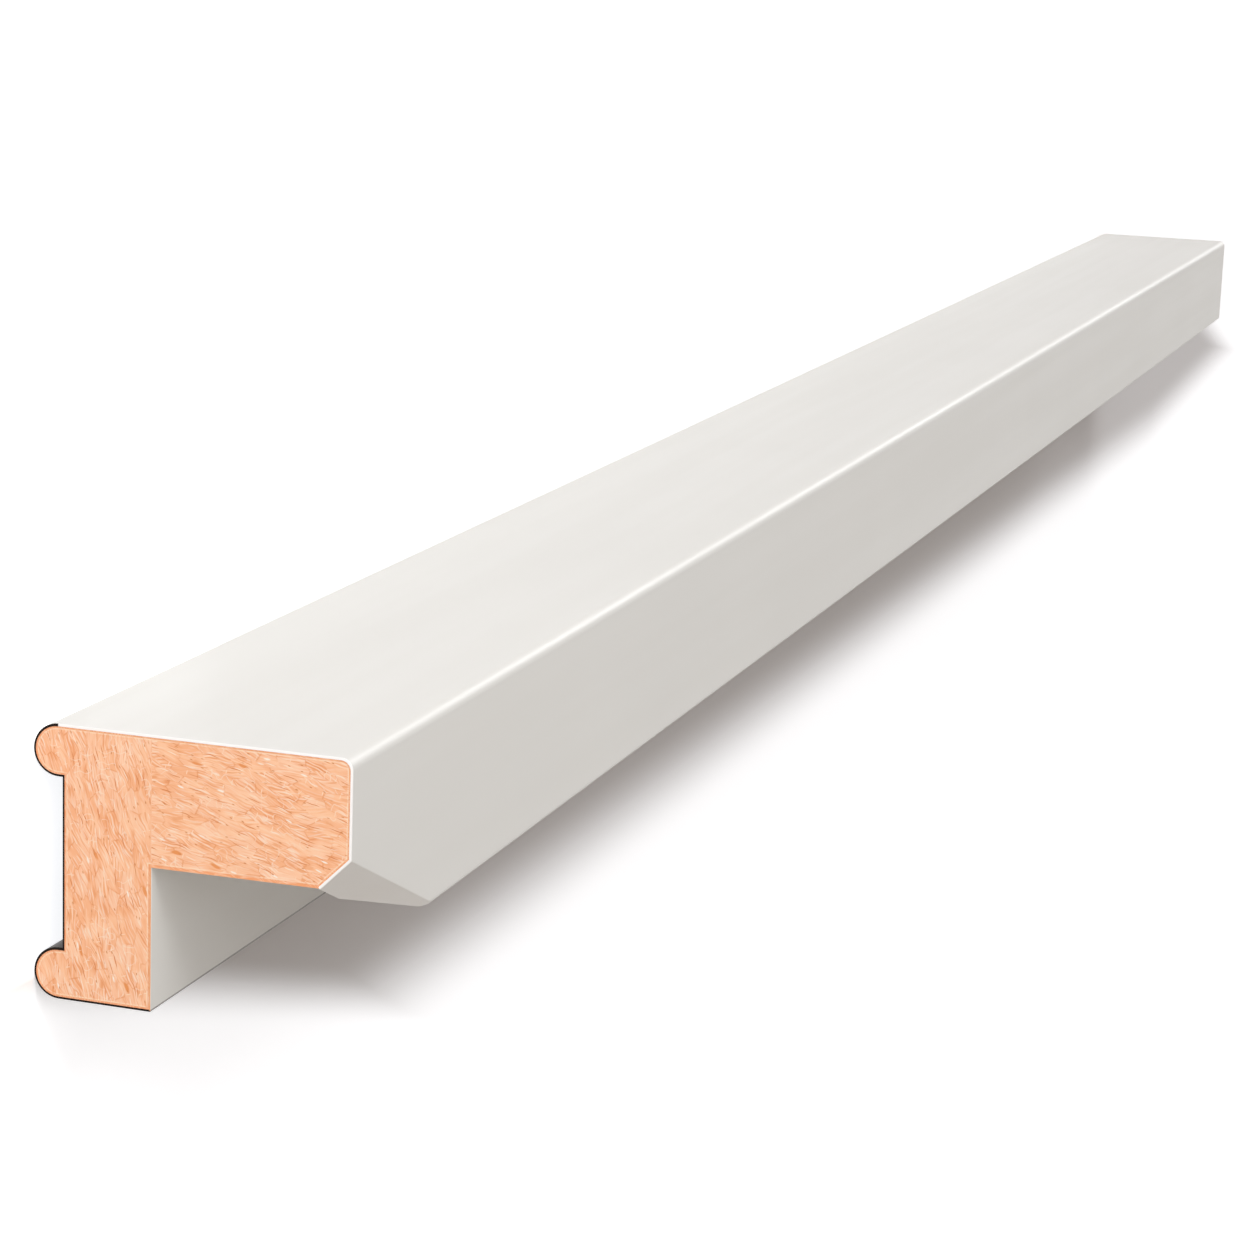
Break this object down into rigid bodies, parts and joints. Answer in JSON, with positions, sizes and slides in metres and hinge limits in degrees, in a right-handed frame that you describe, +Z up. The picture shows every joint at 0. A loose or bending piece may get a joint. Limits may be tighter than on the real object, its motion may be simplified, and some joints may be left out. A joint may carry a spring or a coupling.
{
  "type": "light rail moulding",
  "caption": "Straight painted wood light rail moulding: a beaded back leg, a forward flange and a drop lip around an open light channel, with the lip clipped at one sawn end.",
  "frame": {"origin": "on the floor, below the middle of the moulding as it lies on its two beads", "axes": "+X along the length, from the clipped end to the plain end; +Y from the leg's foot to the top face that goes against the cabinet; +Z up, from the beads to the front face"},
  "size_m": [1.2, 0.057, 0.0683],
  "materials": {
    "painted_wood": "satin off-white paint on all long faces, raw orange-brown wood at the sawn ends"
  },
  "bodies": {
    "root": {"moulding": "painted_wood"}
  },
  "joints": []
}
